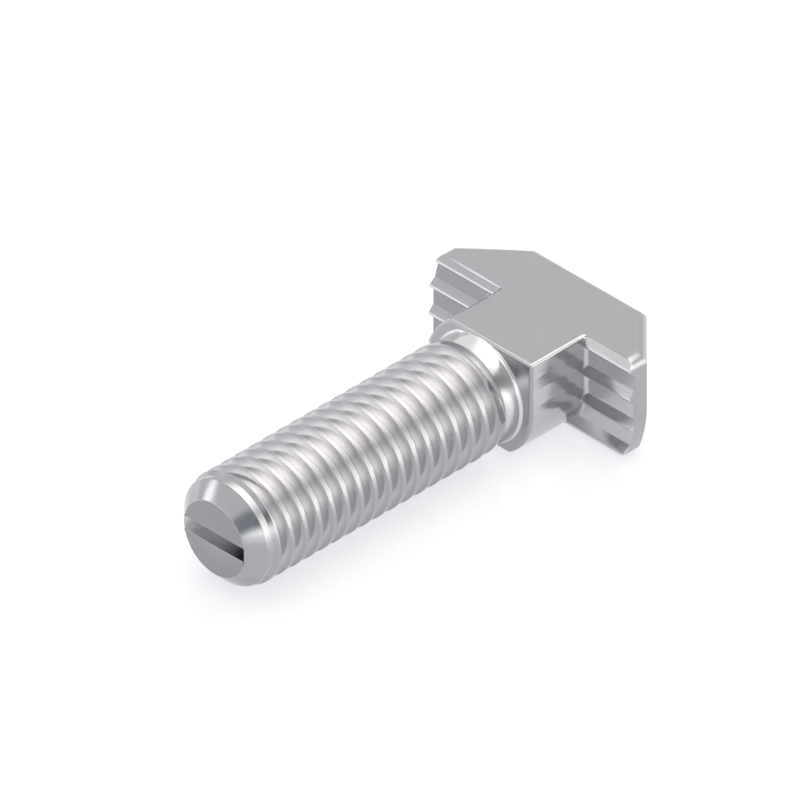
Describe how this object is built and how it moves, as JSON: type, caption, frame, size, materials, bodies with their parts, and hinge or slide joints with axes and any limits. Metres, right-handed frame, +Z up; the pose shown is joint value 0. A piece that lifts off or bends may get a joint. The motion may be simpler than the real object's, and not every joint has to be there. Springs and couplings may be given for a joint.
{
  "type": "t slot bolt",
  "caption": "Hammer-head bolt that drops into a T slot, turns to lock and grips the lips with its toothed underside, with a threaded shank and a driver slot in its tip.",
  "frame": {"origin": "where the bolt's axis crosses the plane through the crests of the teeth under the head", "axes": "the bolt lies on its side: +Y along its axis from the slotted tip to the head, +X along the head's two wings, +Z up through the head's narrow thickness"},
  "size_m": [0.0182, 0.0335, 0.008],
  "materials": {
    "zinc_plated_steel": "bright zinc plating on cold-forged steel, lightly drawn along the flats and polished on the thread"
  },
  "bodies": {
    "root": {"t_slot_bolt": "zinc_plated_steel"}
  },
  "joints": []
}
